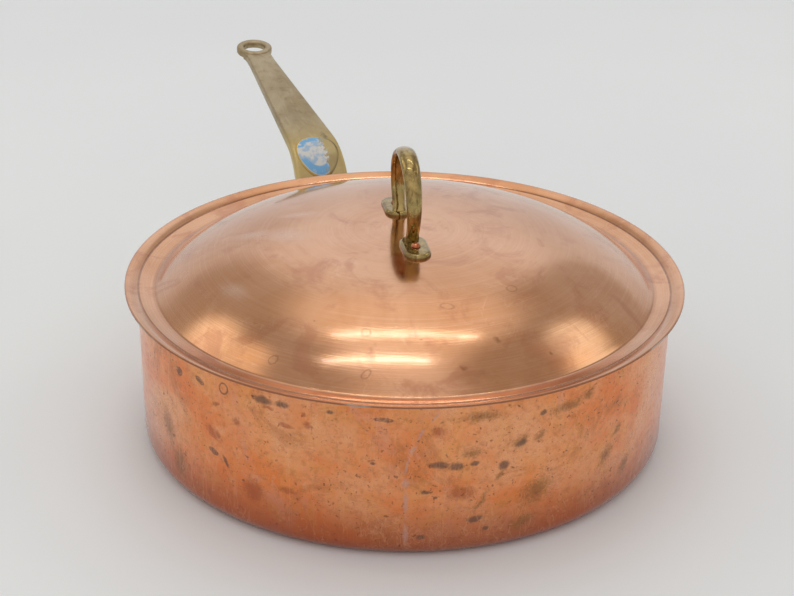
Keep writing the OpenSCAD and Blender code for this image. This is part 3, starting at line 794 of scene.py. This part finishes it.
# the plate: the outline round its three lobes, laid against the wall
plate_bm = bmesh.new()
for across, high in PLATE_RIVETS:
    bmesh.ops.create_cone(plate_bm, cap_ends=True, segments=48, radius1=PLATE_LOBE_R,
                          radius2=PLATE_LOBE_R, depth=PLATE_T,
                          matrix=Matrix.Translation((PAN_R + PLATE_T / 2, across, high))
                          @ Matrix.Rotation(math.pi / 2, 4, "Y"))
hull = bmesh.ops.convex_hull(plate_bm, input=plate_bm.verts)
bmesh.ops.delete(plate_bm, geom=list(set(hull["geom_interior"] + hull["geom_unused"])), context="VERTS")
bmesh.ops.dissolve_limit(plate_bm, angle_limit=math.radians(2), verts=plate_bm.verts, edges=plate_bm.edges)
outer_rim = [e for e in plate_bm.edges
             if all(v.co.x > PAN_R + PLATE_T - 0.1 * MM for v in e.verts) and e.calc_face_angle(0) > 1]
bmesh.ops.bevel(plate_bm, geom=outer_rim, offset=1.3 * MM, segments=4, affect="EDGES", profile=0.5,
                material=-1)
for cut in range(-28, 29, 4):
    bmesh.ops.bisect_plane(plate_bm, geom=plate_bm.verts[:] + plate_bm.edges[:] + plate_bm.faces[:],
                           plane_co=(0, cut * MM, 0), plane_no=(0, 1, 0))


def wall_radius(height):
    """The radius of the wall's outside at a height above the base's bend."""
    return BASE_R + WALL_DRAFT * (height - BEND_R) / (PAN_H - BEND_R)


for v in plate_bm.verts:
    v.co.x += math.sqrt(wall_radius(v.co.z) ** 2 - v.co.y ** 2) - PAN_R
bm = joined(strap_bm, eye_bm, plate_bm)
strap = make_piece("strap_handle", bm, "pan", "handle_brass", "pan_handle", sharp=40)

strap_brass, tree, shader = start_finish("aged_brass", Metallic=1.0, Anisotropic=0.3)
place = put(tree, "TexCoord").outputs["Object"]
clouds = noise(tree, stretch(tree, place, (0.6, 1, 1)), 42.0, 5.0, 0.62, 0.5)
colour = tone(tree, spread(tree, clouds, 0.34, 0.7), paint(178, 161, 130), paint(157, 138, 103))
worn = noise(tree, moved(tree, place, (6, 1, 2)), 150.0, 5.0, 0.65, 0.4)
colour = stain(tree, colour, spread(tree, worn, 0.5, 0.7), 0.55, (136, 114, 74))
parts = put(tree, "SeparateXYZ", {0: place}).outputs
# a painted highlight along both rounded edges of the strap, strongest towards the pan
rubbed_and_highlit = calc(tree, "MULTIPLY", spread(tree, calc(tree, "ABSOLUTE", parts[1]), 11 * MM, 14 * MM),
              spread(tree, parts[0], 205 * MM, 140 * MM, 0.0, 0.7))
colour = tone(tree, spread(tree, parts[0], 178 * MM, 138 * MM, 0.0, 0.6), colour, paint(196, 172, 110))
colour = tone(tree, rubbed_and_highlit, colour, paint(222, 200, 140))
smear = use(tree, mark, {"Vector": place, "Place": (151.5 * MM, -7 * MM, 86 * MM),
                         "Size": (7 * MM, 2.2 * MM, 12 * MM), "Turn": (0, 0, 0.1), "Ragged": 0.6,
                         "Soft": 0.8})["Mask"]
colour = stain(tree, colour, smear, 0.7, (104, 92, 70))
drawn = noise(tree, stretch(tree, place, (0.05, 1, 1)), 700.0, 3.0, 0.55)
colour = stain(tree, colour, spread(tree, drawn, 0.5, 0.75), 0.25, (204, 186, 146))
tree.links.new(colour, shader.inputs["Base Color"])
satin = spread(tree, clouds, 0.3, 0.7, 0.3, 0.42)
tree.links.new(calc(tree, "ADD", satin, calc(tree, "MULTIPLY", worn, 0.08)), shader.inputs["Roughness"])
nicks = use(tree, scratches, {"Vector": place, "Scale": 180.0, "Thin": 0.02, "Patchy": 0.48})["Mask"]
relief = calc(tree, "SUBTRACT", calc(tree, "ADD", worn, calc(tree, "MULTIPLY", drawn, 0.3)),
              calc(tree, "MULTIPLY", nicks, 0.4))
raise_relief(tree, shader, relief, 0.25, 0.0003)
strap.data.materials.append(strap_brass)

# ---- The handle's rivets ----------------------------------------------------------------------
# Three copper rivets through the lining, the wall and the plate, their heads hammered over.
for name, (across, high) in zip(("pan_rivet_left", "pan_rivet_right", "pan_rivet_lower"), PLATE_RIVETS):
    bm = rivet(shank_r=2.6 * MM, head_r=4.8 * MM, head_h=2.0 * MM, tail_r=5.2 * MM, tail_h=1.6 * MM,
               length=PLATE_T + inside)
    bmesh.ops.transform(bm, matrix=Matrix.Rotation(math.asin(across / PAN_R), 4, "Z")
                        @ Matrix.Translation((wall_radius(high) - inside, 0, high))
                        @ Matrix.Rotation(math.pi / 2, 4, "Y"), verts=bm.verts)
    make_piece(name + "_head", bm, "pan", "rivet_copper", name).data.materials.append(rivet_copper)

# ---- The label --------------------------------------------------------------------------------
# A round paper label stuck over the bend of the strap: a gilt rim, a broken blue band and a pale
# middle, with one side worn away to the brass. It carries no lettering.
LABEL_R = 11.1 * MM
LABEL_X = KNEE_X - 1.02 * LABEL_R
LABEL_T, GLUE_T = 0.08 * MM, 0.04 * MM
LABEL_RINGS = 9
strap_top = BVHTree.FromObject(strap, bpy.context.evaluated_depsgraph_get())
bm = bmesh.new()
bmesh.ops.create_circle(bm, cap_ends=True, segments=64, radius=LABEL_R)
for _ in range(LABEL_RINGS):
    bmesh.ops.inset_region(bm, faces=[f for f in bm.faces if len(f.verts) > 4], thickness=1.15 * MM,
                             use_boundary=True)
bmesh.ops.translate(bm, vec=(LABEL_X, 0, 0), verts=bm.verts)
for v in bm.verts:
    reach = strap_top.ray_cast(Vector((v.co.x, v.co.y, 0.2)), Vector((0, 0, -1)))[0]
    v.co.z = reach.z + GLUE_T
label = make_piece("handle_label_paper", bm, "pan", "label_paper", "handle_label", sharp=60)
paper_body = label.modifiers.new("paper", "SOLIDIFY")
paper_body.thickness, paper_body.offset = LABEL_T, 1.0

label_paper, tree, shader = start_finish("worn_label")
place = put(tree, "TexCoord").outputs["Object"]
local = put(tree, "Mapping", {"Vector": place, "Location": (LABEL_X, 0, 0),
                              "Scale": (LABEL_R, LABEL_R, 10.0)}, vector_type="TEXTURE").outputs[0]
parts = put(tree, "SeparateXYZ", {0: local}).outputs
away = put(tree, "VectorMath", {0: local}, operation="LENGTH").outputs["Value"]
fuzz = noise(tree, local, 5.0, 4.0, 0.6)
blot = noise(tree, moved(tree, local, (4, 4, 0)), 2.6, 4.0, 0.6)
colour = tone(tree, spread(tree, blot, 0.44, 0.62), paint(214, 214, 208), paint(160, 188, 212))
band = calc(tree, "MULTIPLY", spread(tree, away, 0.6, 0.66), spread(tree, away, 0.92, 0.88))
gaps = spread(tree, calc(tree, "ABSOLUTE", parts[0]), 0.22, 0.36)
band = calc(tree, "MULTIPLY", calc(tree, "MULTIPLY", band, gaps), spread(tree, fuzz, 0.36, 0.44))
colour = tone(tree, band, colour, paint(116, 176, 220))
colour = tone(tree, spread(tree, away, 0.91, 0.93), colour, paint(206, 172, 84))
gone = calc(tree, "ADD", calc(tree, "MULTIPLY", parts[1], -1.0), calc(tree, "MULTIPLY", fuzz, 1.5))
gone = spread(tree, gone, 1.0, 1.22)
colour = tone(tree, gone, colour, paint(170, 152, 110))
tree.links.new(colour, shader.inputs["Base Color"])
tree.links.new(gone, shader.inputs["Metallic"])
tree.links.new(spread(tree, gone, 0.0, 1.0, 0.5, 0.36), shader.inputs["Roughness"])
raise_relief(tree, shader, calc(tree, "SUBTRACT", fuzz, gone), 0.3, 0.0002)
label.data.materials.append(label_paper)

# ---- The floor, the lights and the camera -----------------------------------------------------
# A pale paper sweep under soft studio lamps: two louvred strips overhead and a soft box each side.
away_way = Vector((-math.cos(FRONT), -math.sin(FRONT), 0))
right_way = Vector((away_way.y, -away_way.x, 0))


def room(right, away, up):
    """A point of the room, from its distances right of, behind and above the middle of the base."""
    return right_way * right + away_way * away + Vector((0, 0, up))


bm = bmesh.new()
FLOOR_REACH = 6.0
bmesh.ops.create_grid(bm, x_segments=1, y_segments=1, size=FLOOR_REACH)
floor = on_bench(bm, "floor")
floor_paper, tree, shader = start_finish("floor_paper", Roughness=0.75)
place = put(tree, "TexCoord").outputs["Object"]
shade = noise(tree, place, 2.2, 3.0, 0.5)
colour = tone(tree, spread(tree, shade, 0.3, 0.7), paint(245, 250, 250), paint(239, 244, 245))
tree.links.new(colour, shader.inputs["Base Color"])
floor.data.materials.append(floor_paper)


def lamp(name, spot, aim, wide, tall, power, tint):
    """A flat lamp at a spot, turned to its aim with its long side level."""
    light = bpy.data.lights.new(name, "AREA")
    light.shape, light.size, light.size_y = "RECTANGLE", wide, tall
    light.energy, light.color = power, tint
    holder = bpy.data.objects.new(name, light)
    bpy.context.scene.collection.objects.link(holder)
    holder.location = spot
    face = (aim - spot).normalized()
    side = (right_way - face * right_way.dot(face)).normalized()
    holder.rotation_euler = Matrix((side, (-face).cross(side), -face)).transposed().to_euler()
    return light


PAN_TOP = Vector((0, 0, 0.09))
STRIP_UP, STRIP_TALL, STRIP_POWER = 1.68, 0.055, 0.85
STRIP_TINT = (0.74, 0.88, 1.0)
LOUVRES, LOUVRE_SLANT = 22.0, 1.3
for name, right, away, wide in (("strip_behind", 0.01, 0.43, 0.93), ("strip_above", -0.19, -0.01, 0.78)):
    light = lamp(name, room(right, away, STRIP_UP), PAN_TOP, wide, STRIP_TALL, STRIP_POWER * wide,
                 STRIP_TINT)
    light.use_nodes = True
    tree = light.node_tree
    across = put(tree, "SeparateXYZ", {0: put(tree, "NewGeometry").outputs["Parametric"]}).outputs
    louvres = calc(tree, "ADD", calc(tree, "MULTIPLY", across[0], LOUVRES * wide),
                   calc(tree, "MULTIPLY", across[1], LOUVRE_SLANT))
    louvres = calc(tree, "ABSOLUTE", calc(tree, "SUBTRACT", calc(tree, "FRACT", louvres), 0.5))
    tree.links.new(spread(tree, louvres, 0.08, 0.16, 0.15, 1.4), tree.nodes["Emission"].inputs["Strength"])


def toward(azimuth, elevation):
    """A direction of the room: its angle to the right of straight behind the pan, and its height."""
    azimuth, elevation = math.radians(azimuth), math.radians(elevation)
    flat_way = away_way * math.cos(azimuth) + right_way * math.sin(azimuth)
    return flat_way * math.cos(elevation) + Vector((0, 0, math.sin(elevation)))


world = bpy.data.worlds.new("studio")
bpy.context.scene.world = world
world.use_nodes = True
tree = world.node_tree
way = put(tree, "TexCoord").outputs["Generated"]
lift = put(tree, "SeparateXYZ", {0: way}).outputs[2]


def glow(azimuth, elevation, inner, outer):
    """A soft round patch of the surroundings, from its middle and its inner and outer angles."""
    cosine = put(tree, "VectorMath", {0: way, 1: toward(azimuth, elevation)}, operation="DOT_PRODUCT")
    outer, inner = (math.cos(math.radians(angle)) for angle in (outer, inner))
    return spread(tree, cosine.outputs["Value"], outer, inner)


# pale walls with darker and brighter parts: where each is, its inner and outer angles, how much, colour
sky = tone(tree, spread(tree, lift, 0.0, 0.35), (0.56, 0.57, 0.59, 1), (0.56, 0.54, 0.54, 1))
for azimuth, elevation, inner, outer, amount, colour in (
        (0, 15, 20, 60, 0.7, (0.82, 0.83, 0.86)),
        (180, 50, 15, 60, 0.8, (0.92, 0.87, 0.87)),
        (41, 35, 18, 22, 0.7, (0.44, 0.39, 0.34)),
        (-44, 38, 16, 24, 0.62, (0.46, 0.42, 0.37)),
        (78, 62, 16, 21, 0.8, (0.45, 0.40, 0.36)),
        (-88, 62, 10, 24, 0.75, (0.47, 0.43, 0.41)),
        (0, 64, 8, 26, 0.9, (1.16, 1.10, 1.02)),
        (0, 34, 6, 20, 0.7, (1.0, 1.02, 1.06)),
        (-5, 84, 5, 19, 0.75, (1.18, 1.10, 1.03)),
        (-61, 38, 4, 12, 0.9, (1.6, 1.58, 1.42)),
        (-75, 50, 2, 9, 0.7, (1.6, 1.45, 1.2)),
        (59, 43, 4, 12, 0.9, (1.46, 1.5, 1.4)),
        (74, 42, 2, 9, 0.7, (1.6, 1.45, 1.2))):
    patch = calc(tree, "MULTIPLY", glow(azimuth, elevation, inner, outer), amount)
    sky = tone(tree, patch, sky, colour + (1,))
tree.links.new(sky, tree.nodes["Background"].inputs["Color"])

CAMERA_SPOT = room(0, -0.7617, 0.4242)
CAMERA_AIM = room(-0.0033, 0, 0.0622)
CAMERA_ROLL = math.radians(0.87)
camera = bpy.data.cameras.new("camera")
camera.sensor_width, camera.lens = 36.0, 84.06
camera.clip_start, camera.clip_end = 0.05, 50.0
eye = bpy.data.objects.new("camera", camera)
bpy.context.scene.collection.objects.link(eye)
eye.location = CAMERA_SPOT
look = (CAMERA_AIM - CAMERA_SPOT).to_track_quat("-Z", "Y")
eye.rotation_euler = (look.to_matrix() @ Matrix.Rotation(CAMERA_ROLL, 3, "Z")).to_euler()
bpy.context.scene.camera = eye
bpy.context.scene.view_settings.view_transform = "Standard"
